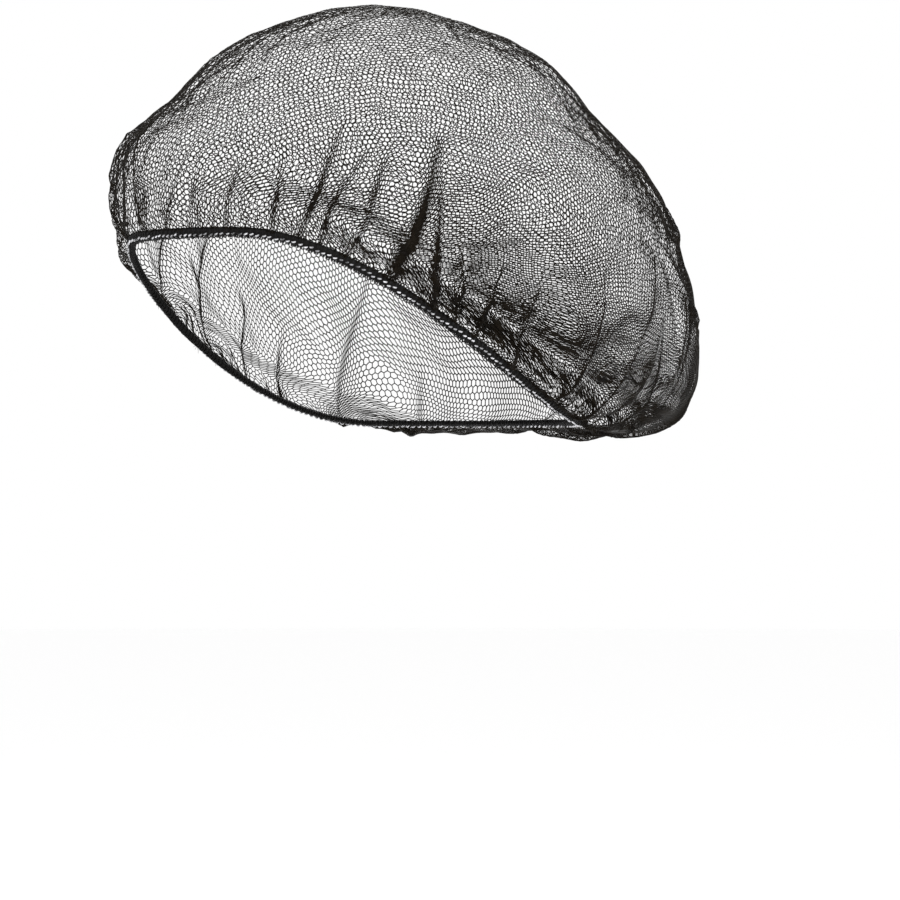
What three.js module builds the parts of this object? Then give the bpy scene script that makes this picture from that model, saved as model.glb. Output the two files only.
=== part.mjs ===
// A hairnet in the form that it takes on a head: a thin net cap gathered onto an elastic edge.
// Millimetres, +Z up. The forehead side faces -Y and the wearer's left is +X.
// The origin is the middle of the head opening, halfway between the front and the back of the edge.
import * as THREE from "three";
import { ParametricGeometry } from "three/addons/geometries/ParametricGeometry.js";

// Sizes of the cloth and of the elastic edge
const NET_WALL = 1.0;
const EDGE_HEIGHT = 3.4;
const EDGE_THICKNESS = 2.4;
const SEAT_GAP = 0.3; // between the net's lower end and the elastic edge

// The crown's highest point
const CROWN_HEIGHT = 128;
const CROWN_BACK = 7; // behind the origin

// The edge stays high over the brow, drops past the ears and stays low round the nape.
const DROP_FROM_DEG = 22;
const DROP_TO_DEG = 132;

// Level sections from the crown down to the edge: each is an oval with its reach forwards and backwards
// from the origin, its half width, and its height at the front and at the back.
const SECTIONS = [
  { name: "crown", front: 31.5, back: 50.5, halfWidth: 36, frontZ: 119, backZ: 119 },
  { name: "upper", front: 60, back: 88, halfWidth: 58, frontZ: 105.5, backZ: 105 },
  { name: "shoulder", front: 80, back: 103.5, halfWidth: 74, frontZ: 87, backZ: 86 },
  { name: "brow", front: 100, back: 130, halfWidth: 86, frontZ: 71, backZ: 67 },
  { name: "full", front: 103.5, back: 148, halfWidth: 92, frontZ: 61, backZ: 39 },
  { name: "pouch", front: 104.5, back: 158.5, halfWidth: 93, frontZ: 53, backZ: -1 },
  { name: "hang", front: 104.5, back: 151, halfWidth: 87, frontZ: 45.5, backZ: -29 },
  { name: "tuck", front: 103, back: 125.5, halfWidth: 80, frontZ: 40.5, backZ: -38.5 },
  { name: "edge", front: 100.5, back: 100.5, halfWidth: 76, frontZ: 36, backZ: -36 },
];

// Loose puffs of net. Azimuth is 0 at the front and 90 at the wearer's left; share runs from the crown, 0,
// to the edge, 1. A puff stands out by `out`, hangs down by `drop` and fades over its two spans.
const PUFFS = [
  { name: "right temple", azimuth: -52, share: 0.79, spanDeg: 18, spanShare: 0.08, out: 7, drop: 1.5 },
  { name: "nape left", azimuth: 138, share: 0.72, spanDeg: 20, spanShare: 0.12, out: 4, drop: 2 },
  { name: "nape right", azimuth: -146, share: 0.74, spanDeg: 22, spanShare: 0.12, out: 4, drop: 2 },
];

// Main folds, each a ridge or, with a negative height, a crease. It runs up from the edge to `topShare`
// and leans by `leanDeg` on the way.
const FOLDS = [
  { name: "brow middle", azimuth: 6, leanDeg: 6, topShare: 0.5, spanDeg: 4, height: -1.6 },
  { name: "left brow", azimuth: 36, leanDeg: 5, topShare: 0.4, spanDeg: 4, height: 2.2 },
  { name: "left temple front", azimuth: 54, leanDeg: 2, topShare: 0.36, spanDeg: 3.5, height: -2.2 },
  { name: "left temple", azimuth: 65, leanDeg: 8, topShare: 0.34, spanDeg: 4, height: 3.4 },
  { name: "left temple back", azimuth: 78, leanDeg: 4, topShare: 0.4, spanDeg: 3.5, height: -2.4 },
  { name: "over left ear", azimuth: 97, leanDeg: -5, topShare: 0.42, spanDeg: 5, height: 2.6 },
  { name: "pouch left", azimuth: 121, leanDeg: -6, topShare: 0.46, spanDeg: 4.5, height: -4 },
  { name: "pouch left back", azimuth: 152, leanDeg: 4, topShare: 0.4, spanDeg: 5, height: -4.5 },
  { name: "pouch middle", azimuth: 176, leanDeg: -3, topShare: 0.5, spanDeg: 5, height: 3.2 },
  { name: "pouch right back", azimuth: -163, leanDeg: 3, topShare: 0.42, spanDeg: 4.5, height: -4 },
  { name: "pouch right", azimuth: -124, leanDeg: 5, topShare: 0.46, spanDeg: 5, height: -3.6 },
  { name: "over right ear", azimuth: -97, leanDeg: 4, topShare: 0.42, spanDeg: 5, height: 2.4 },
  { name: "right temple", azimuth: -70, leanDeg: -5, topShare: 0.36, spanDeg: 4, height: -2.8 },
  { name: "right puff", azimuth: -42, leanDeg: -3, topShare: 0.4, spanDeg: 4, height: -2.6 },
  { name: "right brow", azimuth: -22, leanDeg: -5, topShare: 0.44, spanDeg: 4, height: 2 },
];

// Small even gathers that the elastic pulls into the net
const GATHER_COUNT = 32;
const GATHER_HEIGHT = 0.9;
const GATHER_TOP_SHARE = 0.5;
const EDGE_FADE_SHARE = 0.12; // folds and gathers die out over this last share above the edge

// Fineness of the facets
const AROUND = 128;
const ROWS_PER_SECTION = 2;
const EDGE_SIDES = 8;

const radians = THREE.MathUtils.degToRad;
const UP = new THREE.Vector3(0, 0, 1);

// Signed angle from b to a, in degrees, between -180 and 180
function angleBetween(a, b) {
  return THREE.MathUtils.euclideanModulo(a - b + 180, 360) - 180;
}

function bell(distance, span) {
  return Math.exp(-((distance / span) ** 2));
}

// A point of one section at an azimuth
function sectionPoint(section, azimuth) {
  const turn = radians(azimuth);
  const away = Math.abs(angleBetween(azimuth, 0));
  const dropped = THREE.MathUtils.clamp((away - DROP_FROM_DEG) / (DROP_TO_DEG - DROP_FROM_DEG), 0, 1);
  const frontness = (1 + Math.cos(Math.PI * dropped)) / 2;
  const middle = (section.back - section.front) / 2;
  const halfLength = (section.back + section.front) / 2;
  return new THREE.Vector3(
    section.halfWidth * Math.sin(turn),
    middle - halfLength * Math.cos(turn),
    THREE.MathUtils.lerp(section.backZ, section.frontZ, frontness),
  );
}

// The smooth line from the crown to the edge at an azimuth. It starts one section early, on the far side
// of the crown, so that it crosses the crown level.
const meridians = new Map();
function meridian(azimuth) {
  if (!meridians.has(azimuth)) {
    const line = new THREE.CatmullRomCurve3([
      sectionPoint(SECTIONS[0], azimuth + 180),
      new THREE.Vector3(0, CROWN_BACK, CROWN_HEIGHT),
      ...SECTIONS.map((section) => sectionPoint(section, azimuth)),
    ]);
    meridians.set(azimuth, line);
  }
  return meridians.get(azimuth);
}

function smoothPoint(azimuth, share) {
  const spans = SECTIONS.length + 1;
  return meridian(azimuth).getPoint((1 + share * SECTIONS.length) / spans);
}

// How far the net stands out from the smooth form, and how far it hangs down
function looseness(azimuth, share) {
  let out = 0;
  let drop = 0;
  for (const puff of PUFFS) {
    const here =
      bell(angleBetween(azimuth, puff.azimuth), puff.spanDeg) * bell(share - puff.share, puff.spanShare);
    out += puff.out * here;
    drop += puff.drop * here;
  }
  for (const fold of FOLDS) {
    const rise = THREE.MathUtils.clamp((1 - share) / (1 - fold.topShare), 0, 1);
    const centre = fold.azimuth + fold.leanDeg * rise;
    const fade = THREE.MathUtils.smoothstep(1 - rise, 0, 0.6);
    out += fold.height * fade * bell(angleBetween(azimuth, centre), fold.spanDeg);
  }
  const gathered = THREE.MathUtils.smoothstep(share, GATHER_TOP_SHARE, 1 - EDGE_FADE_SHARE);
  out += GATHER_HEIGHT * gathered * Math.cos(GATHER_COUNT * radians(azimuth));
  const held = THREE.MathUtils.smoothstep(1 - share, 0, EDGE_FADE_SHARE);
  return { out: out * held, drop: drop * held };
}

// Two directions along the smooth form at a point, and its outward normal
function smoothFrame(azimuth, share) {
  const step = 0.01;
  const low = Math.max(0, share - step);
  const high = Math.min(1, share + step);
  const down = smoothPoint(azimuth, high).sub(smoothPoint(azimuth, low)).normalize();
  if (share === 0) return { down, normal: UP.clone() };
  const across = smoothPoint(azimuth + 1, share).sub(smoothPoint(azimuth - 1, share)).normalize();
  return { down, normal: down.clone().cross(across).normalize() };
}

function netPoint(azimuth, share) {
  const { out, drop } = looseness(azimuth, share);
  return smoothPoint(azimuth, share)
    .addScaledVector(smoothFrame(azimuth, share).normal, out)
    .addScaledVector(UP, -drop);
}

// The net's own outward normal, folds included
function netNormal(azimuth, share) {
  if (share === 0) return UP.clone();
  const step = 0.02;
  const low = Math.max(0.001, share - step);
  const high = Math.min(1, share + step);
  const down = netPoint(azimuth, high).sub(netPoint(azimuth, low));
  const across = netPoint(azimuth + 1, share).sub(netPoint(azimuth - 1, share));
  return down.cross(across).normalize();
}

// The net cap is one closed wall: rows run down its outer face from the crown to the edge and back up inside.
function makeNetCap() {
  const rows = SECTIONS.length * ROWS_PER_SECTION;
  const stacks = 2 * rows + 1;
  const geometry = new ParametricGeometry(
    (u, v, target) => {
      const row = Math.round(v * stacks);
      const outside = row <= rows;
      const share = (outside ? row : stacks - row) / rows;
      const azimuth = -360 * (u % 1);
      target.copy(netPoint(azimuth, share));
      if (!outside) target.addScaledVector(netNormal(azimuth, share), -NET_WALL);
    },
    AROUND,
    stacks,
  );
  const material = new THREE.MeshStandardMaterial({ color: 0x1d1b18, roughness: 0.6, side: THREE.DoubleSide });
  const mesh = new THREE.Mesh(geometry, material);
  mesh.name = "net_cap";
  return mesh;
}

// The elastic edge is an oval cord, taller than it is thick, that closes the loop just below the net.
function makeElasticEdge() {
  const geometry = new ParametricGeometry(
    (u, v, target) => {
      const azimuth = -360 * (u % 1);
      const turn = 2 * Math.PI * (v % 1);
      const { down, normal } = smoothFrame(azimuth, 1);
      target
        .copy(smoothPoint(azimuth, 1))
        .addScaledVector(normal, -NET_WALL / 2)
        .addScaledVector(down, SEAT_GAP + (EDGE_HEIGHT / 2) * (1 + Math.sin(turn)))
        .addScaledVector(normal, (EDGE_THICKNESS / 2) * Math.cos(turn));
    },
    AROUND,
    EDGE_SIDES,
  );
  const material = new THREE.MeshStandardMaterial({ color: 0x101114, roughness: 0.4 });
  const mesh = new THREE.Mesh(geometry, material);
  mesh.name = "elastic_edge";
  return mesh;
}

const hairnet = new THREE.Group();
hairnet.add(makeNetCap(), makeElasticEdge());

export default hairnet;
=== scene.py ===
# A worn hairnet: bare hexagonal net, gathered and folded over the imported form, on an overlocked elastic.
# Lengths are in metres in the part's own frame, unless a comment says otherwise: the forehead side faces
# -Y, the wearer's left is +X and Z is up. An azimuth is 0 at the front and 90 degrees at the wearer's left.
import math
from collections import namedtuple

import bpy
import numpy as np
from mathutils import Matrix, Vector
from mathutils.bvhtree import BVHTree


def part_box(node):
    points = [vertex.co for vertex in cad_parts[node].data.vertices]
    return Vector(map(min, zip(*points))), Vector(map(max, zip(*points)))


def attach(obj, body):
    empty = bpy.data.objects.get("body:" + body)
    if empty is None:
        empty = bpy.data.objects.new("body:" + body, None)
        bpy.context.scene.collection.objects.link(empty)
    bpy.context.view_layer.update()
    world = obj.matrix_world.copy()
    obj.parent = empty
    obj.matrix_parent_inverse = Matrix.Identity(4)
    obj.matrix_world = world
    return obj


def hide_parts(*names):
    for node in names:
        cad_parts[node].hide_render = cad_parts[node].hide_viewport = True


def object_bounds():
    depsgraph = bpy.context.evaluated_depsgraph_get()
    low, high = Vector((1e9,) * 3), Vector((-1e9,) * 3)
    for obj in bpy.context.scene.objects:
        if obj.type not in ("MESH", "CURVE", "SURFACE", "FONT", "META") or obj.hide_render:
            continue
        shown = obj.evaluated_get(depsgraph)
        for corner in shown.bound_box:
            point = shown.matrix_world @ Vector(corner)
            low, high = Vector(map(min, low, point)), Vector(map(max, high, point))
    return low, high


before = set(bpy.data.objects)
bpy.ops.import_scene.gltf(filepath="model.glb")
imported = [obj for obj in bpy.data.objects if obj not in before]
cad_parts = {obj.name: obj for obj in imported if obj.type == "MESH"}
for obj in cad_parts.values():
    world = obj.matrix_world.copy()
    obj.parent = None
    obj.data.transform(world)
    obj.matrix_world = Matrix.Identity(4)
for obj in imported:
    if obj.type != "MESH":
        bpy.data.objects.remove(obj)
cad_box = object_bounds()

MM = 0.001
TAU = 2 * math.pi
TINY = 1e-12  # keeps a division by a length from failing
rng = np.random.default_rng(7)

# The net: cell pitch with the cells open, half width of its yarns and half thickness of its knots
CELL_PITCH = 2.4 * MM
YARN_HALF = 0.18 * MM
PILLAR_HALF = 0.24 * MM  # two sides of each cell are knitted double
KNOT_HALF = 0.16 * MM
KNOT_POINTS = 5  # one above, one below, and one in each corner between two yarns
WIDEST_CORNER = 2 * PILLAR_HALF  # how far a knot may fill the corner between two of its yarns
STRAIGHT_BEND = 0.2  # two yarns whose unit ways add up to less than this run on in a straight line
EDGE_MARGIN = 0.35 * CELL_PITCH  # a yarn ends in the first knot that is closer to the edge than this
SPARE_CELLS = 2  # rows and columns of the flat net beyond its longest reach
NET_PIECES = 4

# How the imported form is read: azimuths around, and shares of the way from the crown to the edge
AROUND = 720
ROWS = 200
AZIMUTHS = np.arange(AROUND) * TAU / AROUND  # in radians
SHARES = np.linspace(0, 1, ROWS)
INNER_BACK = 0.04  # how far behind the origin the inner point is, as a share of the cap's length
NET_SEAT = 2.2 * MM  # the cap is read down to this far above the middle line of the edge
EDGE_BLUR_DEG = 2
FORM_BLUR_DEG = 1.3
FORM_BLUR_ROWS = 1.5

# Main folds of the side that the camera sees. Each runs up from the edge: its azimuth there and how far
# it leans, in degrees, its length and half width in millimetres, how much denser the cells lie on it, and
# its height and how far it sways from a straight line, in millimetres.
Fold = namedtuple("Fold", "azimuth lean length half bunching height sway")
SEEN_FOLDS = (
    Fold(5, 3, 24, 1.1, 7.0, 1.1, 0.4),
    Fold(13, 4, 30, 1.2, 7.0, 1.2, -0.5),
    Fold(22, 4, 36, 1.3, 7.0, 1.4, 0.8),
    Fold(26.5, 12, 58, 1.5, 8.0, 1.7, 1.4),
    Fold(31, 11, 50, 1.3, 7.0, 1.4, -0.9),
    Fold(36, 12, 54, 1.5, 8.0, 1.6, 1.5),
    Fold(46, 15, 74, 3.0, 10.0, 3.0, 1.8),
    Fold(58, 0, 58, 2.0, 10.0, 2.2, -0.8),
    Fold(64, -1, 42, 1.2, 8.0, 1.4, 0.8),
    Fold(70, 6, 46, 1.6, 8.0, 1.6, 1.3),
    Fold(84, 3, 48, 1.6, 6.0, 1.8, -1.5),
    Fold(102, 4, 62, 1.7, 5.0, 2.0, 1.6),
    Fold(117, 10, 84, 1.8, 4.5, 2.0, -2.0),
    Fold(130, 14, 96, 1.8, 4.0, 2.0, 2.2),
    Fold(147, 10, 105, 1.8, 4.0, 2.0, -2.4),
)
FRONT_FOLDS = 10  # the first of them lie over the brow and the temple
FOLD_WIDENING = -0.3  # change of a fold's half width from the edge to its top

# The other folds are like the ones behind the temple but weaker, one to every step of azimuth, in degrees
OTHER_FOLDS = range(164, 352, 17)
OTHER_SHIFT_DEG = 5  # at most, to either side
OTHER_BUNCHING = 0.9

# Small gathers that the elastic pulls into the net, with the range of each of their sizes
GATHERS = 128
GATHER_LENGTH = (7 * MM, 24 * MM)
GATHER_HALF = (0.65 * MM, 1.2 * MM)
GATHER_BUNCHING = (2.0, 4.5)
GATHER_HEIGHT = (0.5 * MM, 1.1 * MM)
GATHER_SWAY = (-0.8 * MM, 0.8 * MM)
GATHER_SHIFT = 0.42  # at most, to either side, of the step from one gather to the next
GATHER_LEAN = 0.16  # usual lean to either side, as a slope
GATHER_WIDENING = 1.2  # change of a gather's half width from the edge to its top

# What folds and gathers have in common
CREST_POWER = 1.8  # of the bell across a fold: below 2 its crest is sharper
SWAY_WAVES = 0.75  # along a fold
UNEVEN_SHARE = 0.15  # by which a fold grows and shrinks along its length
UNEVEN_TURN = 9  # radians of that from the edge to the fold's top
EDGE_FADE = 5 * MM  # folds have no height at the edge and all of it from here up

# Creases that cross the folds, each from one azimuth and length above the edge to another, in degrees and
# millimetres, with its half width and height in millimetres and how strongly it draws the cells together
Crease = namedtuple("Crease", "azimuth_a up_a azimuth_b up_b half height draw")
CREASES = (
    Crease(49, 0, 60, 13, 1.3, 1.8, 0.8),
    Crease(55, 13, 66, 2, 1.2, 1.6, 0.8),
    Crease(-45, 55, -2, 35, 1.5, 0.8, 0.75),
    Crease(-60, 27, -8, 22, 2.5, -1.4, 0.75),
    Crease(122, 92, 160, 79, 1.8, 1.7, 0.75),
    Crease(132, 123, 168, 113, 2.2, 1.8, 0.75),
    Crease(-110, 90, -150, 80, 1.8, 1.4, 0.2),
    Crease(-120, 124, -160, 114, 1.8, 1.4, 0.2),
    Crease(168, 94, 202, 86, 1.8, 1.4, 0.3),
)
CREASE_REACH = 1.6  # half widths over which a crease draws the cells together

# Where the form stands out from its own blurred shape the net is loose, and its cells lie closer
LOOSE_BLUR_DEG = 4
LOOSE_BUNCHING = 1.2 / MM  # how much denser the cells lie, for each metre that it stands out
LOOSE_MOST = 2 * MM

# Soft unevenness. A ripple lifts the net by a height, and a drift moves its cells by a number of rows.
Unevenness = namedtuple("Unevenness", "size waves_around waves_down")
RIPPLES = (Unevenness(0.45 * MM, 26, 5), Unevenness(0.3 * MM, 70, 16))
DRIFTS = (Unevenness(0.9, 18, 9), Unevenness(0.2, 60, 30))
NOISE_WAVES = 24  # cosines that add up to one unevenness
CROWN_FADE = 0.25  # an unevenness grows to its full size over this first share of the way down
EDGE_HOLD = 0.125  # over this last share of the way down the cells are moved less and less

# The elastic edge and its core
STITCH_PITCH = 2.3 * MM
EDGE_POINTS = 1440
EDGE_UP_ROW = -6  # the row of the form towards which the net leaves the edge
EDGE_UP = 4 * MM  # length over which that way is followed
CORE_HALF_HEIGHT = 1.75 * MM
CORE_HALF_THICKNESS = 1.05 * MM
CORE_SIDES = 12
CORE_PINCH = 0.08  # share by which the core swells and shrinks with every stitch
YARN_SIDES = 6  # flat sides of a round yarn, an even number
STEEP = 0.9  # a yarn whose unit way rises more than this counts as upright

# The overlock yarns. A swing has a size, a number of waves round the edge and a phase in radians.
Swing = namedtuple("Swing", "size waves phase")
OVERLOCK_HALF = 0.3 * MM
OVERLOCK_STEPS = 14  # points for each stitch
OVERLOCK_ABOVE = 0.08 * MM  # middle line of the yarn above and below the core
OVERLOCK_PROUD = 0.1 * MM  # and off its faces
OVERLOCK_APART = 0.05 * MM  # more for one yarn and less for the other
OVERLOCK_TURN = Swing(0.35, 61, 0)  # the winding runs ahead and behind by this angle
LOOP_DROP = 0.55 * MM  # how far each loop stands below the core
LOOP_POWER = 3  # the higher, the narrower the loops
LOOP_SLACK = (Swing(0.25, 37, 0.6), Swing(0.2, 83, 0))  # shares by which the loops differ

# The needle stitches. Sideways places are shares of the core's half height, below its middle.
NEEDLE_HALF = 0.34 * MM
NEEDLE_TAPER = 0.45  # share by which its ends are thinner
NEEDLE_STEPS = 7
NEEDLE_REACH = 0.3 * STITCH_PITCH  # from the middle of a stitch to its ends
NEEDLE_SHIFT = 0.12  # of a stitch, at most, to either side
NEEDLE_LOW = (-0.1, 0.4)  # range of the middle of a stitch
NEEDLE_SLANT = 0.15  # from the middle to either end
NEEDLE_PROUD = 0.5 * MM  # the middle of a stitch off the core's face
NEEDLE_DIP = 0.55 * MM  # how much deeper its ends lie

# Loose yarn ends below the edge
YARN_ENDS = 60
END_HALF = 0.11 * MM
END_TIP = 0.4  # share of the half width that is left at the tip
END_STEPS = 6
END_LENGTH = (1.0 * MM, 3.2 * MM)
END_LEAN = 0.5  # usual lean and curl along the edge, as shares of the length
END_CURL = 0.4
END_OUT = 0.3 * MM  # where an end starts, outside the core's middle
END_BEND = 0.25  # share of the length by which its tip bends outwards

# Fine relief of every yarn
TWIST_GRAIN = 5200  # to the metre
TWIST_DEPTH = 0.05 * MM
TINT_DETAIL = 3

# Stage, lights and camera
FLOOR_LEVEL = -0.5
FLOOR_RADIUS = 9
FLOOR_SIDES = 96
FLOOR_COLOUR = (0.98, 0.98, 0.98, 1)
FLOOR_ROUGHNESS = 0.9
STUDIO_COLOUR = (1, 1, 1, 1)
Light = namedtuple("Light", "name place size power")
LIGHTS = (
    Light("key", (0.5, -1.5, 0.9), 0.5, 26),
    Light("side", (1.6, 0.4, 0.6), 0.7, 18),
    Light("back", (-0.9, 1.4, 1.2), 0.8, 18),
    Light("flash", (1.2, -1.1, 0.12), 0.06, 4),
)
LIGHT_AIM = (0, 0, 0.05)
CAMERA_AZIMUTH_DEG = 45
CAMERA_ELEVATION_DEG = -1.7
CAMERA_DISTANCE = 1.6
PICTURE_HEIGHT = 0.351  # at the origin's distance
PICTURE_RIGHT = 0.0347  # the picture's middle, from the origin
PICTURE_DOWN = 0.0462
SENSOR_MM = 36


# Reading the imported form

def unit(v):
    return v / np.maximum(np.linalg.norm(v, axis=-1, keepdims=True), TINY)


def blur_around(field, degrees):
    """Smooths a field along its first axis, which closes on itself."""
    count = field.shape[0]
    waves = np.fft.rfftfreq(count, 1 / count)
    keep = np.exp(-2 * (math.pi * waves * (degrees / 360)) ** 2)
    keep = keep.reshape([-1] + [1] * (field.ndim - 1))
    return np.fft.irfft(np.fft.rfft(field, axis=0) * keep, count, axis=0)


def blur_rows(field, rows):
    """Smooths a field along its second axis, whose two ends stay where they are."""
    reach = int(3 * rows)
    steps = np.arange(-reach, reach + 1)
    weights = np.exp(-0.5 * (steps / rows) ** 2)
    weights /= weights.sum()
    line = np.pad(field, ((0, 0), (reach, reach)), mode="reflect", reflect_type="odd")
    return sum(w * line[:, k:k + field.shape[1]] for k, w in enumerate(weights))


def inner_point():
    """A point in the hollow from which every spot of the cap can be seen."""
    low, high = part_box("net_cap")
    return Vector((0, INNER_BACK * (high.y - low.y), low.z + 0.5 * (high.z - low.z)))


def read_edge(centre):
    """Reach and height of the elastic edge's middle line, seen from the inner point, for each azimuth."""
    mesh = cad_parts["elastic_edge"].data
    points = np.empty(3 * len(mesh.vertices))
    mesh.vertices.foreach_get("co", points)
    points = points.reshape(-1, 3) - np.array(centre)
    turn = np.arctan2(points[:, 0], -points[:, 1])
    away = np.angle(np.exp(1j * (AZIMUTHS[:, None] - turn[None, :])))
    weights = np.exp(-0.5 * (away / math.radians(EDGE_BLUR_DEG)) ** 2)
    weights /= weights.sum(axis=1, keepdims=True)
    return weights @ np.hypot(points[:, 0], points[:, 1]), weights @ points[:, 2]


def read_distance(centre, ways):
    """How far from the inner point the cap's outer face lies each way; gaps are filled along the rows."""
    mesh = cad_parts["net_cap"].data
    corners = [vertex.co for vertex in mesh.vertices]
    tree = BVHTree.FromPolygons(corners, [face.vertices[:] for face in mesh.polygons])
    far = 2 * (cad_box[1] - cad_box[0]).length
    distance = np.full((AROUND, ROWS), np.nan)
    for a in range(AROUND):
        for r in range(ROWS):
            way = Vector(ways[a, r])
            place, _, _, gone = tree.ray_cast(centre + way * far, -way, far)
            if place is not None:
                distance[a, r] = far - gone
        known = np.flatnonzero(~np.isnan(distance[a]))
        distance[a] = np.interp(np.arange(ROWS), known, distance[a, known])
    distance = blur_rows(blur_around(distance, FORM_BLUR_DEG), FORM_BLUR_ROWS)
    distance[:, 0] = distance[:, 0].mean()
    return distance


def read_form():
    """The cap's outer face as points on a grid of azimuths and rows, its length from the crown to the edge
    at each azimuth, and the edge's middle line."""
    centre = inner_point()
    edge_reach, edge_height = read_edge(centre)
    seat = NET_SEAT / np.hypot(edge_reach, edge_height)
    rise = np.linspace(math.pi / 2, np.arctan2(edge_height, edge_reach) + seat, ROWS, axis=1)
    left = np.sin(AZIMUTHS)
    back = -np.cos(AZIMUTHS)
    level = np.cos(rise)
    ways = np.stack([left[:, None] * level, back[:, None] * level, np.sin(rise)], axis=2)
    face = ways * read_distance(centre, ways)[..., None]
    edge = np.stack([left * edge_reach, back * edge_reach, edge_height], axis=1)
    points = np.concatenate([face, edge[:, None, :]], axis=1) + np.array(centre)
    steps = np.linalg.norm(np.diff(points, axis=1), axis=2)
    along = np.concatenate([np.zeros((AROUND, 1)), np.cumsum(steps, axis=1)], axis=1)
    length = along[:, -1]
    form = np.empty((AROUND, ROWS, 3))
    for a in range(AROUND):
        for axis in range(3):
            form[a, :, axis] = np.interp(SHARES * length[a], along[a], points[a, :, axis])
    return form, length, edge + np.array(centre)


def normals_of(form):
    around = np.roll(form, -1, axis=0) - np.roll(form, 1, axis=0)
    down = np.gradient(form, axis=1)
    normal = np.cross(down, around)
    normal[:, 0] = (0, 0, 1)
    return normal / np.linalg.norm(normal, axis=2, keepdims=True)


# Folding and bunching the net

def soft_noise(unevenness):
    """A smooth random field over the form that closes around and is still at the crown."""
    field = np.zeros((AROUND, ROWS))
    for _ in range(NOISE_WAVES):
        field += np.cos(
            rng.integers(1, unevenness.waves_around + 1) * AZIMUTHS[:, None]
            + rng.uniform(0, unevenness.waves_down) * TAU * SHARES
            + rng.uniform(0, TAU)
        )
    return unevenness.size * field / math.sqrt(NOISE_WAVES) * np.clip(SHARES / CROWN_FADE, 0, 1)


Ridge = namedtuple("Ridge", "place lean length half bunching height widening sway")


def make_ridges(round_edge):
    """Every fold and gather: its place along the edge, and its sizes in metres."""
    degree = round_edge / 360
    folds = list(SEEN_FOLDS)
    for azimuth in OTHER_FOLDS:
        like = SEEN_FOLDS[rng.integers(FRONT_FOLDS, len(SEEN_FOLDS))]
        folds.append(like._replace(
            azimuth=azimuth + rng.uniform(-OTHER_SHIFT_DEG, OTHER_SHIFT_DEG),
            lean=-like.lean,
            bunching=OTHER_BUNCHING * like.bunching,
            sway=-like.sway,
        ))
    for fold in folds:
        yield Ridge(
            place=fold.azimuth * degree,
            lean=fold.lean * degree / (fold.length * MM),
            length=fold.length * MM,
            half=fold.half * MM,
            bunching=fold.bunching,
            height=fold.height * MM,
            widening=FOLD_WIDENING,
            sway=fold.sway * MM,
        )
    for k in range(GATHERS):
        yield Ridge(
            place=(k + rng.uniform(-GATHER_SHIFT, GATHER_SHIFT)) * round_edge / GATHERS,
            lean=rng.normal(0, GATHER_LEAN),
            length=rng.uniform(*GATHER_LENGTH),
            half=rng.uniform(*GATHER_HALF),
            bunching=rng.uniform(*GATHER_BUNCHING),
            height=rng.uniform(*GATHER_HEIGHT),
            widening=GATHER_WIDENING,
            sway=rng.uniform(*GATHER_SWAY),
        )


def fold_field(length, round_edge):
    """Height of the folds and gathers over the form, and how densely the net is bunched there."""
    above = (1 - SHARES) * length[:, None]
    around = AZIMUTHS[:, None] / TAU * round_edge
    height = np.zeros((AROUND, ROWS))
    density = np.ones((AROUND, ROWS))
    for ridge in make_ridges(round_edge):
        run = np.clip(above / ridge.length, 0, 1)
        sway = ridge.sway * np.sin(TAU * SWAY_WAVES * run)
        away = around - ridge.place - ridge.lean * above - sway
        away = (away + round_edge / 2) % round_edge - round_edge / 2
        half = ridge.half * (1 + ridge.widening * run)
        uneven = 1 + UNEVEN_SHARE * np.sin(UNEVEN_TURN * run + ridge.place / MM)
        strength = np.exp(-np.abs(away / half) ** CREST_POWER) * (1 - run ** 2) * uneven
        height += ridge.height * strength
        density += ridge.bunching * strength
    return height * np.clip(above / EDGE_FADE, 0, 1), density


def crease_field(length):
    """Height of the creases over the form, and by how many rows they draw the cells down or up."""
    above = (1 - SHARES) * length[:, None]
    azimuth = np.degrees(AZIMUTHS)[:, None]
    height = np.zeros((AROUND, ROWS))
    drawn = np.zeros((AROUND, ROWS))
    for crease in CREASES:
        span = crease.azimuth_b - crease.azimuth_a
        from_middle = (azimuth - crease.azimuth_a - span / 2 + 180) % 360 - 180
        run = from_middle / span + 0.5
        away = above - (crease.up_a + run * (crease.up_b - crease.up_a)) * MM
        half = crease.half * MM
        taper = np.clip(1 - (2 * run - 1) ** 2, 0, 1)
        height += crease.height * MM * np.exp(-(away / half) ** 2) * taper
        drawn += crease.draw * away * np.exp(-(away / (CREASE_REACH * half)) ** 2) * taper
    return height, drawn / length[:, None] * (ROWS - 1)


def drape(form, length):
    """The form with its fine folds, for each row the table that turns a share of the flat net's turn into
    a share of the worn one's, and by how many rows the cells are moved."""
    round_edge = np.linalg.norm(np.diff(form[:, -1], axis=0, append=form[:1, -1]), axis=1).sum()
    height, density = fold_field(length, round_edge)
    crease_height, moved = crease_field(length)
    normal = normals_of(form)
    stands_out = np.einsum("ijk,ijk->ij", form - blur_around(form, LOOSE_BLUR_DEG), normal)
    density += LOOSE_BUNCHING * np.clip(stands_out, 0, LOOSE_MOST)
    height += crease_height
    for ripple in RIPPLES:
        height += soft_noise(ripple)
    for drift in DRIFTS:
        moved += soft_noise(drift)
    folded = form + normal * height[..., None]
    folded[:, -1] = form[:, -1]
    total = np.cumsum(density, axis=0)
    total = np.concatenate([np.zeros((1, ROWS)), total]) / total[-1:]
    turn = np.linspace(0, 1, AROUND + 1)
    worn = np.empty((AROUND + 1, ROWS))
    for r in range(ROWS):
        worn[:, r] = np.interp(turn, total[:, r], turn)
    return folded, worn, moved


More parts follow.
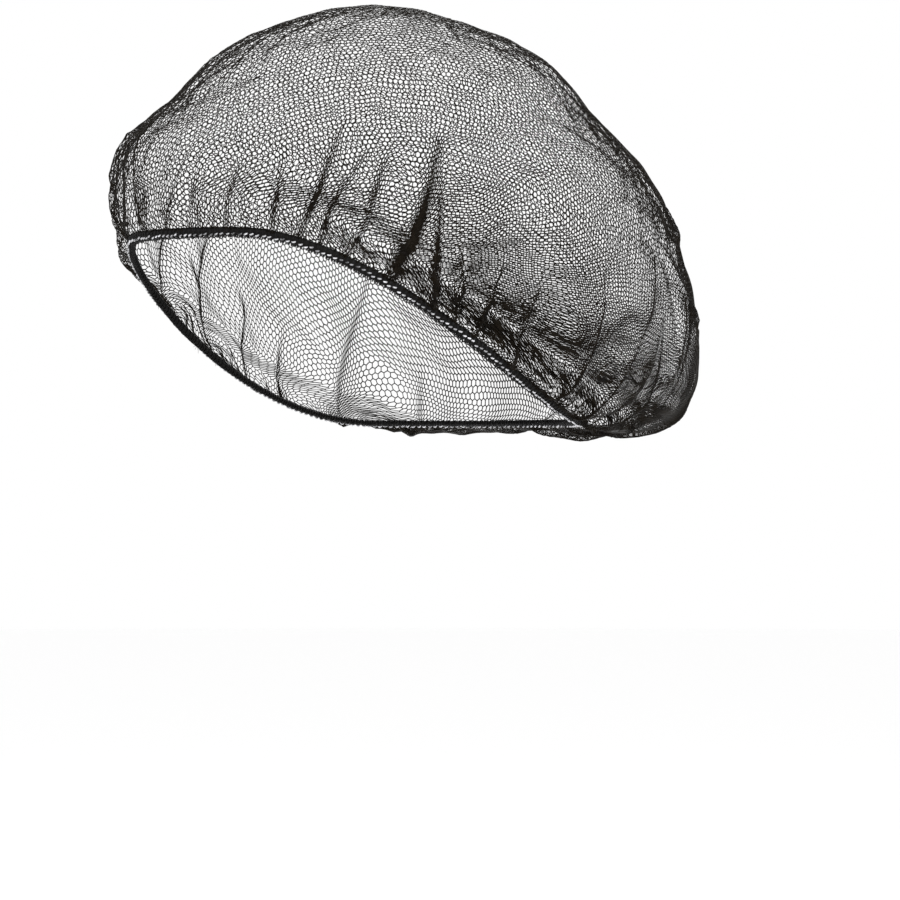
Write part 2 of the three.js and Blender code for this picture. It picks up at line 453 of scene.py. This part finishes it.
def sample(grid, around, row):
    """Values of a grid at places between its points. After its last azimuth comes its first again."""
    a0 = np.floor(around).astype(int)
    r0 = np.clip(np.floor(row).astype(int), 0, ROWS - 2)
    fa = around - a0
    fr = row - r0
    if grid.ndim == 3:
        fa = fa[:, None]
        fr = fr[:, None]
    a1 = (a0 + 1) % grid.shape[0]
    a0 = a0 % grid.shape[0]
    top = grid[a0, r0] * (1 - fa) + grid[a1, r0] * fa
    low = grid[a0, r0 + 1] * (1 - fa) + grid[a1, r0 + 1] * fa
    return top * (1 - fr) + low * fr


# The flat hexagonal net and its place on the form

Net = namedtuple("Net", "flat inside around knots")


def flat_lattice(length):
    """Knots of the flat net in two sets. Each knot of the first set has three yarns, and each of those ends
    in a knot of the second set. Returns both sets' flat points on a grid, and where the three yarns end."""
    side = CELL_PITCH / math.sqrt(3)
    row_step = 1.5 * side
    rows = int(length.max() / row_step) + SPARE_CELLS
    columns = int(length.max() / CELL_PITCH) + SPARE_CELLS
    i, j = np.meshgrid(np.arange(-columns, columns + 1), np.arange(-rows, rows + 1), indexing="ij")
    odd = j % 2
    x = i * CELL_PITCH + odd * CELL_PITCH / 2
    y = j * row_step
    lower = np.stack([x, y], axis=-1)
    upper = np.stack([x, y + side], axis=-1)
    column, row = np.indices(i.shape)
    ends = [(column, row), (column - 1 + odd, row - 1), (column + odd, row - 1)]
    return lower, upper, ends


def neighbours(shape, ends):
    """Each knot's three neighbours, in order around it, or -1 at the rim of the grid. The first set of
    knots counts up from 0, and the second set follows it."""
    size = shape[0] * shape[1]
    first = np.arange(size).reshape(shape)
    around = np.full((2 * size, 3), -1)
    for slot, (column, row) in enumerate(ends):
        there = (column >= 0) & (column < shape[0]) & (row >= 0) & (row < shape[1])
        other = size + first[np.where(there, column, 0), np.where(there, row, 0)]
        around[first[there], slot] = other[there]
        around[other[there], slot] = first[there]
    return around


def lay_on(flat, form, length):
    """Worn points and normals for flat points, and which of them lie inside the net's edge."""
    folded, worn, moved = drape(form, length)
    away = np.hypot(flat[:, 0], flat[:, 1])
    turn = (np.arctan2(flat[:, 0], -flat[:, 1]) / TAU) % 1
    reach = np.interp(turn, np.linspace(0, 1, AROUND + 1), np.append(length, length[0]))
    share = np.clip(away / reach, 0, 1)
    row = share * (ROWS - 1)
    around = sample(worn, turn * AROUND, row) * AROUND
    free = np.clip((1 - share) / EDGE_HOLD, 0, 1)
    row = np.clip(row + sample(moved, around, row) * free, 0, ROWS - 1)
    normal = unit(sample(normals_of(folded), around, row))
    return sample(folded, around, row), normal, away < reach - EDGE_MARGIN


def knot_points(points, normal, around):
    """The five points of each knot. A corner point lies where the sides of its two yarns meet."""
    way = unit(points[around] - points[:, None, :])
    way = unit(way - normal[:, None, :] * np.einsum("ijk,ik->ij", way, normal)[..., None])
    following = np.roll(way, -1, axis=1)
    corner = way + following
    bend = np.linalg.norm(corner, axis=2, keepdims=True)
    side_way = np.cross(normal[:, None, :], way)
    corner = unit(np.where(bend > STRAIGHT_BEND, corner, side_way))
    turned = np.einsum("ijk,ik->ij", np.cross(way, following), normal) < 0
    corner = np.where(turned[..., None], -corner, corner)
    sideways = np.abs(np.einsum("ijk,ijk->ij", corner, side_way))
    thick = np.array([PILLAR_HALF, YARN_HALF, PILLAR_HALF])
    spread = thick / np.maximum(sideways, thick / WIDEST_CORNER)
    knots = np.empty((len(points), KNOT_POINTS, 3))
    knots[:, 0] = points + normal * KNOT_HALF
    knots[:, 1] = points - normal * KNOT_HALF
    knots[:, 2:] = points[:, None, :] + corner * spread[..., None]
    return knots


def build_net(form, length):
    lower, upper, ends = flat_lattice(length)
    flat = np.concatenate([lower.reshape(-1, 2), upper.reshape(-1, 2)])
    points, normal, inside = lay_on(flat, form, length)
    around = neighbours(lower.shape[:2], ends)
    return Net(flat, inside, around, knot_points(points, normal, around))


def ring_of(knot, slot):
    """The four points of each knot that a yarn in that slot starts from: above, left, below, right."""
    above = 0 * slot
    ring = np.stack([above, 2 + slot, above + 1, 2 + (slot + 2) % 3], axis=1)
    return KNOT_POINTS * knot[:, None] + ring


def net_faces(net):
    """Quads of every yarn, split into pieces around the flat net. Where a knot's other yarns belong to
    another piece, or end in the edge, the open side of the knot is closed with one quad."""
    size = len(net.flat) // 2
    start = np.arange(size)
    yarns = []
    for slot in range(3):
        end = net.around[:size, slot]
        keep = (end >= 0) & (net.inside[start] | net.inside[end])
        yarns.append(np.stack([start[keep], end[keep], np.full(keep.sum(), slot)], axis=1))
    start, end, slot = np.concatenate(yarns).T
    middle = (net.flat[start] + net.flat[end]) / 2
    turn = np.arctan2(middle[:, 0], -middle[:, 1])
    piece = np.searchsorted(np.quantile(turn, np.linspace(0, 1, NET_PIECES + 1))[1:-1], turn)
    owner = np.full((2 * size, 3), -1)
    owner[start, slot] = piece
    owner[end, slot] = piece
    for k in range(NET_PIECES):
        own = piece == k
        first = ring_of(start[own], slot[own])
        last = ring_of(end[own], slot[own])[:, [0, 3, 2, 1]]
        faces = []
        for c in range(4):
            faces.append(np.stack([first[:, c], last[:, c], last[:, c - 3], first[:, c - 3]], axis=1))
        has = owner == k
        count = has.sum(axis=1)
        lone = np.flatnonzero(count == 1)
        faces.append(ring_of(lone, has[lone].argmax(axis=1)))
        pair = np.flatnonzero(count == 2)
        faces.append(ring_of(pair, has[pair].argmin(axis=1))[:, ::-1])
        yield np.concatenate(faces)


def mesh_from(name, points, faces, material, flat=None):
    """A smooth mesh object from points and quads; flat gives the cloth's own places for its UV map."""
    mesh = bpy.data.meshes.new(name)
    mesh.vertices.add(len(points))
    mesh.vertices.foreach_set("co", np.ascontiguousarray(points, dtype=np.float32).ravel())
    mesh.loops.add(4 * len(faces))
    mesh.loops.foreach_set("vertex_index", np.ascontiguousarray(faces, dtype=np.int32).ravel())
    mesh.polygons.add(len(faces))
    mesh.polygons.foreach_set("loop_start", np.arange(0, 4 * len(faces), 4, dtype=np.int32))
    mesh.update(calc_edges=True)
    mesh.shade_smooth()
    if flat is not None:
        uv = mesh.uv_layers.new(name="OFBake")
        uv.data.foreach_set("uv", np.ascontiguousarray(flat[faces.ravel()], dtype=np.float32).ravel())
    mesh.materials.append(material)
    obj = bpy.data.objects.new(name, mesh)
    bpy.context.collection.objects.link(obj)
    return obj


def make_net(form, length, material):
    """The net, in pieces that meet at the crown and along lines down from it."""
    net = build_net(form, length)
    points = net.knots.reshape(-1, 3)
    flat = np.repeat(net.flat, KNOT_POINTS, axis=0)
    flat = (flat - flat.min(axis=0)) / (flat.max(axis=0) - flat.min(axis=0)).max()
    pieces = []
    for faces in net_faces(net):
        used, own = np.unique(faces, return_inverse=True)
        name = f"net_{len(pieces) + 1}"
        piece = mesh_from(name, points[used], own.reshape(-1, 4), material, flat[used])
        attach(piece, "root")
        pieces.append(piece)
    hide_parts("net_cap")


# The elastic edge

# Points of the edge's middle line, with its direction, its downward and its outward way at each
EdgeLine = namedtuple("EdgeLine", "points ahead down out")


def even_line(line):
    """A closed line of points spaced evenly along its length, and that length."""
    steps = np.linalg.norm(np.diff(line, axis=0, append=line[:1]), axis=1)
    along = np.concatenate([[0], np.cumsum(steps)])
    closed = np.vstack([line, line[:1]])
    places = np.arange(EDGE_POINTS) / EDGE_POINTS * along[-1]
    return np.stack([np.interp(places, along, closed[:, k]) for k in range(3)], axis=1), along[-1]


def read_edge_line(form, edge):
    """The edge's line and its length."""
    points, total = even_line(edge)
    up_points, _ = even_line(edge + unit(form[:, EDGE_UP_ROW] - edge) * EDGE_UP)
    ahead = unit(np.roll(points, -1, axis=0) - np.roll(points, 1, axis=0))
    down = points - up_points
    down = unit(down - ahead * np.einsum("ij,ij->i", down, ahead)[:, None])
    return EdgeLine(points, ahead, down, np.cross(down, ahead)), total


def along_edge(line, where):
    """The edge's line at places given as shares of its length."""
    at = (where % 1) * EDGE_POINTS
    steps = np.arange(EDGE_POINTS + 1)
    found = []
    for v in line:
        closed = np.vstack([v, v[:1]])
        found.append(np.stack([np.interp(at, steps, closed[:, k]) for k in range(3)], axis=-1))
    return EdgeLine(*found)


def tube(paths, half, closed):
    """Points and quads of round yarns along paths, an array of yarns, steps and coordinates. Open yarns
    end in flat caps."""
    count, steps = paths.shape[:2]
    if closed:
        ahead = unit(np.roll(paths, -1, axis=1) - np.roll(paths, 1, axis=1))
    else:
        ahead = unit(np.gradient(paths, axis=1))
    helper = np.where(np.abs(ahead[..., 2:3]) < STEEP, np.array([0, 0, 1.0]), np.array([1.0, 0, 0]))
    across = unit(np.cross(ahead, helper))
    other = np.cross(ahead, across)
    turn = np.arange(YARN_SIDES) * TAU / YARN_SIDES
    wide = np.broadcast_to(half, (count, steps))[..., None, None]
    ring = paths[:, :, None, :] + wide * (
        np.cos(turn)[:, None] * across[:, :, None, :] + np.sin(turn)[:, None] * other[:, :, None, :]
    )
    index = np.arange(count * steps * YARN_SIDES).reshape(count, steps, YARN_SIDES)
    here = index if closed else index[:, :-1]
    there = np.roll(index, -1, axis=1) if closed else index[:, 1:]
    sides = np.stack([here, np.roll(here, -1, axis=2), np.roll(there, -1, axis=2), there], axis=-1)
    quads = [sides.reshape(-1, 4)]
    if not closed:
        for k in range(1, YARN_SIDES - 2, 2):
            quads.append(index[:, 0][:, [0, k + 2, k + 1, k]])
            quads.append(index[:, -1][:, [0, k, k + 1, k + 2]])
    return ring.reshape(-1, 3), np.concatenate(quads)


def make_core(line, stitches, material):
    """The elastic itself, drawn in a little at every stitch."""
    turn = np.arange(CORE_SIDES) * TAU / CORE_SIDES
    pinch = 1 + CORE_PINCH * np.cos(stitches * np.arange(EDGE_POINTS) / EDGE_POINTS * TAU)
    tall = CORE_HALF_HEIGHT * pinch[:, None] * np.sin(turn)
    thick = CORE_HALF_THICKNESS * pinch[:, None] * np.cos(turn)
    ring = line.points[:, None, :] + tall[..., None] * line.down[:, None, :]
    ring = ring + thick[..., None] * line.out[:, None, :]
    index = np.arange(EDGE_POINTS * CORE_SIDES).reshape(EDGE_POINTS, CORE_SIDES)
    after = np.roll(index, -1, axis=0)
    quads = np.stack([index, np.roll(index, -1, axis=1), np.roll(after, -1, axis=1), after], axis=-1)
    return mesh_from("elastic_core", ring.reshape(-1, 3), quads.reshape(-1, 4), material)


def swing_at(swing, where):
    return swing.size * np.sin(where * TAU * swing.waves + swing.phase)


def make_overlock(line, stitches, material):
    """Two yarns wound round the core, one each way, so that they cross. Their loops stand below it."""
    winds = stitches * OVERLOCK_STEPS
    where = np.arange(winds) / winds
    slack = 1 + sum(swing_at(swing, where) for swing in LOOP_SLACK)
    at = along_edge(line, where)
    paths = []
    for hand in (1, -1):
        angle = hand * (where * stitches * TAU + swing_at(OVERLOCK_TURN, where))
        loop = LOOP_DROP * np.clip(np.sin(angle), 0, 1) ** LOOP_POWER * slack
        tall = (CORE_HALF_HEIGHT + OVERLOCK_ABOVE + loop) * np.sin(angle)
        thick = (CORE_HALF_THICKNESS + OVERLOCK_PROUD + OVERLOCK_APART * hand) * np.cos(angle)
        paths.append(at.points + tall[:, None] * at.down + thick[:, None] * at.out)
    points, quads = tube(np.array(paths), OVERLOCK_HALF, True)
    return mesh_from("edge_overlock", points, quads, material)


def make_needle_stitches(line, stitches, total, material):
    """The shiny needle yarn, one short bowed stitch after another along the outer face."""
    where = (np.arange(stitches) + rng.uniform(-NEEDLE_SHIFT, NEEDLE_SHIFT, stitches)) / stitches
    bow = np.linspace(-1, 1, NEEDLE_STEPS)[None, :]
    at = along_edge(line, where[:, None] + bow * NEEDLE_REACH / total)
    low = (rng.uniform(*NEEDLE_LOW, stitches)[:, None] - NEEDLE_SLANT * bow) * CORE_HALF_HEIGHT
    proud = CORE_HALF_THICKNESS + NEEDLE_PROUD - NEEDLE_DIP * bow ** 2
    path = at.points + low[..., None] * at.down + proud[..., None] * at.out
    points, quads = tube(path, NEEDLE_HALF * (1 - NEEDLE_TAPER * bow ** 4), False)
    return mesh_from("edge_needle_stitches", points, quads, material)


def make_yarn_ends(line, material):
    """Short loose yarn ends below the edge."""
    at = along_edge(line, rng.uniform(0, 1, (YARN_ENDS, 1)))
    long = rng.uniform(*END_LENGTH, (YARN_ENDS, 1, 1))
    lean = rng.normal(0, END_LEAN, (YARN_ENDS, 1, 1))
    curl = rng.normal(0, END_CURL, (YARN_ENDS, 1, 1))
    run = np.linspace(0, 1, END_STEPS)[None, :, None]
    path = (
        at.points
        + (CORE_HALF_HEIGHT + long * run) * at.down
        + long * (lean * run + curl * run ** 2) * at.ahead
        + (END_OUT + END_BEND * long * run ** 2) * at.out
    )
    points, quads = tube(path, END_HALF * np.linspace(1, END_TIP, END_STEPS)[None, :], False)
    return mesh_from("edge_yarn_ends", points, quads, material)


def make_edge(form, edge, knit, overlock_yarn, needle_yarn_painted_glints):
    line, total = read_edge_line(form, edge)
    stitches = round(total / STITCH_PITCH)
    core = make_core(line, stitches, knit)
    others = [
        make_overlock(line, stitches, overlock_yarn),
        make_needle_stitches(line, stitches, total, needle_yarn_painted_glints),
        make_yarn_ends(line, overlock_yarn),
    ]
    for piece in (core, *others):
        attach(piece, "root")
    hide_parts("elastic_edge")


# Materials

def yarn_material(name, dark, light, spread, rough, grain, shine, relief):
    """Dyed yarn: colour that varies along it, a fine twist in relief, and some shine. A small spread makes
    the change from dark to light sharp. On the needle yarn the light colour is partly its own pale tone
    and partly painted glints: bright patches that stand in for highlights."""
    material = bpy.data.materials.new(name)
    material.use_nodes = True
    nodes = material.node_tree.nodes
    links = material.node_tree.links
    shader = nodes["Principled BSDF"]
    shader.inputs["Specular IOR Level"].default_value = shine
    place = nodes.new("ShaderNodeTexCoord")

    # Colour, on the needle yarn partly painted glints; sockets 6 and 7 are the two colours of a mix, and
    # its output 2 is their mixture
    noise = nodes.new("ShaderNodeTexNoise")
    noise.inputs["Scale"].default_value = grain
    noise.inputs["Detail"].default_value = TINT_DETAIL
    links.new(place.outputs["Object"], noise.inputs["Vector"])
    tone = nodes.new("ShaderNodeMapRange")
    tone.inputs["From Min"].default_value = 0.5 - spread
    tone.inputs["From Max"].default_value = 0.5 + spread
    links.new(noise.outputs["Fac"], tone.inputs["Value"])
    tint = nodes.new("ShaderNodeMix")
    tint.data_type = "RGBA"
    tint.inputs[6].default_value = (*dark, 1)
    tint.inputs[7].default_value = (*light, 1)
    links.new(tone.outputs["Result"], tint.inputs["Factor"])
    links.new(tint.outputs[2], shader.inputs["Base Color"])

    # Gloss
    gloss = nodes.new("ShaderNodeMapRange")
    gloss.inputs["To Min"].default_value = rough[0]
    gloss.inputs["To Max"].default_value = rough[1]
    links.new(noise.outputs["Fac"], gloss.inputs["Value"])
    links.new(gloss.outputs["Result"], shader.inputs["Roughness"])

    # Relief
    twist = nodes.new("ShaderNodeTexNoise")
    twist.inputs["Scale"].default_value = TWIST_GRAIN
    links.new(place.outputs["Object"], twist.inputs["Vector"])
    bump = nodes.new("ShaderNodeBump")
    bump.inputs["Strength"].default_value = relief
    bump.inputs["Distance"].default_value = TWIST_DEPTH
    links.new(twist.outputs["Fac"], bump.inputs["Height"])
    links.new(bump.outputs["Normal"], shader.inputs["Normal"])
    return material


def make_net_yarn():
    return yarn_material(
        "net_yarn", dark=(0.0016, 0.0011, 0.0007), light=(0.008, 0.0058, 0.0034), spread=0.3,
        rough=(0.25, 0.4), grain=240, shine=0.035, relief=0.3)


def make_elastic_knit():
    return yarn_material(
        "elastic_knit", dark=(0.002, 0.002, 0.002), light=(0.006, 0.0055, 0.005), spread=0.3,
        rough=(0.5, 0.7), grain=700, shine=0.05, relief=0.6)


def make_overlock_yarn():
    return yarn_material(
        "overlock_yarn", dark=(0.002, 0.002, 0.002), light=(0.007, 0.0065, 0.0065), spread=0.3,
        rough=(0.35, 0.5), grain=900, shine=0.07, relief=0.5)


# The needle yarn's light colour is partly its own pale tone and partly painted glints: bright patches of
# painted highlight in its base colour.
def make_needle_yarn():
    return yarn_material(
        "needle_yarn_painted_glints", dark=(0.015, 0.015, 0.017), light=(0.5, 0.5, 0.52), spread=0.16,
        rough=(0.1, 0.25), grain=230, shine=0.6, relief=0.15)


# Stage, lights and camera

def make_stage():
    bpy.ops.mesh.primitive_circle_add(
        vertices=FLOOR_SIDES, radius=FLOOR_RADIUS, fill_type="NGON", location=(0, 0, FLOOR_LEVEL))
    floor = bpy.context.object
    floor.name = "floor"
    material = bpy.data.materials.new("pale_floor")
    material.use_nodes = True
    shader = material.node_tree.nodes["Principled BSDF"]
    shader.inputs["Base Color"].default_value = FLOOR_COLOUR
    shader.inputs["Roughness"].default_value = FLOOR_ROUGHNESS
    floor.data.materials.append(material)
    world = bpy.data.worlds.new("studio")
    world.use_nodes = True
    world.node_tree.nodes["Background"].inputs["Color"].default_value = STUDIO_COLOUR
    bpy.context.scene.world = world
    bpy.context.scene.view_settings.view_transform = "Standard"


def aim_at(obj, target):
    """Turns a light or camera, which looks along its own -Z, towards a point."""
    obj.rotation_euler = (Vector(target) - obj.location).to_track_quat("-Z", "Y").to_euler()


def make_light(light):
    data = bpy.data.lights.new(light.name, "AREA")
    data.size = light.size
    data.energy = light.power
    lamp = bpy.data.objects.new(light.name, data)
    lamp.location = light.place
    aim_at(lamp, LIGHT_AIM)
    bpy.context.collection.objects.link(lamp)


def make_camera():
    azimuth = math.radians(CAMERA_AZIMUTH_DEG)
    elevation = math.radians(CAMERA_ELEVATION_DEG)
    level = math.cos(elevation)
    right = Vector((math.cos(azimuth), math.sin(azimuth), 0))
    to_camera = Vector((math.sin(azimuth) * level, -math.cos(azimuth) * level, math.sin(elevation)))
    up = to_camera.cross(right)
    data = bpy.data.cameras.new("camera")
    data.sensor_width = SENSOR_MM
    data.lens = SENSOR_MM * CAMERA_DISTANCE / PICTURE_HEIGHT
    camera = bpy.data.objects.new("camera", data)
    camera.location = to_camera * CAMERA_DISTANCE
    aim_at(camera, right * PICTURE_RIGHT - up * PICTURE_DOWN)
    bpy.context.collection.objects.link(camera)
    bpy.context.scene.camera = camera


make_stage()
make_camera()
for light in LIGHTS:
    make_light(light)

form, length, edge = read_form()
make_net(form, length, make_net_yarn())
make_edge(form, edge, make_elastic_knit(), make_overlock_yarn(), make_needle_yarn())
